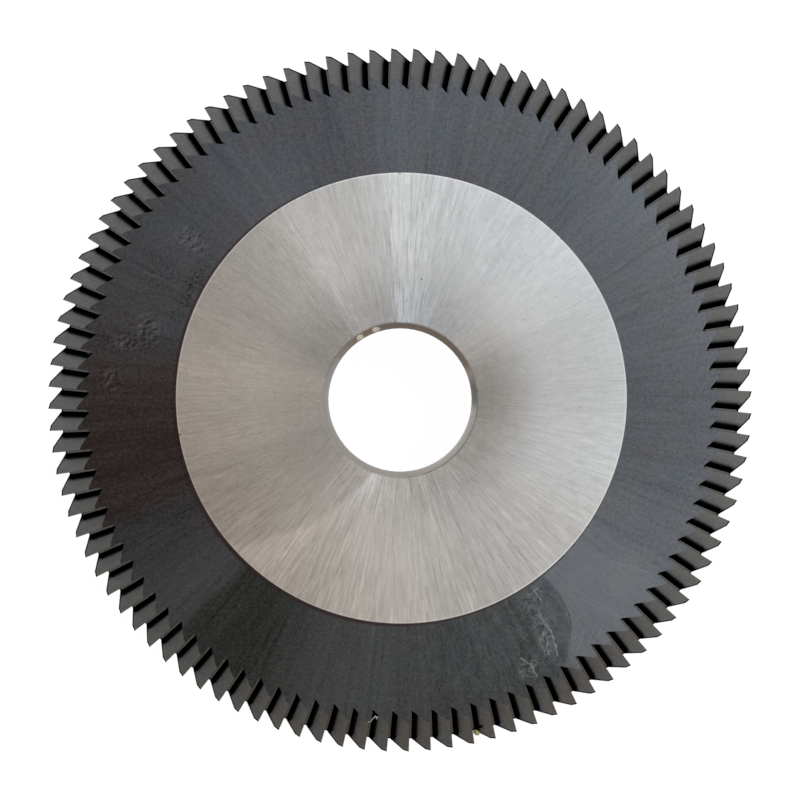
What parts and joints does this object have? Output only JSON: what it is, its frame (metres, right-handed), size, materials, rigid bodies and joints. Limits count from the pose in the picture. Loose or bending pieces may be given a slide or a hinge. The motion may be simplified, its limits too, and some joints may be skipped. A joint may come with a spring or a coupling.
{
  "type": "key cutting wheel",
  "caption": "Toothed steel disc cutter with a bevelled, gashed rim, a black ring, ground hub faces and a plain central bore, for milling key blanks.",
  "frame": {"origin": "middle of the rear hub face, on the bore's axis", "axes": "+Z along the bore's axis, out of the front hub face; one tooth tip lies on +X"},
  "size_m": [0.06, 0.06, 0.0073],
  "materials": {
    "wheel_steel": "hardened steel: black oxide over the web and teeth, ground bright on the hub faces and in the bore"
  },
  "bodies": {
    "root": {"cutting_wheel": "wheel_steel"}
  },
  "joints": []
}
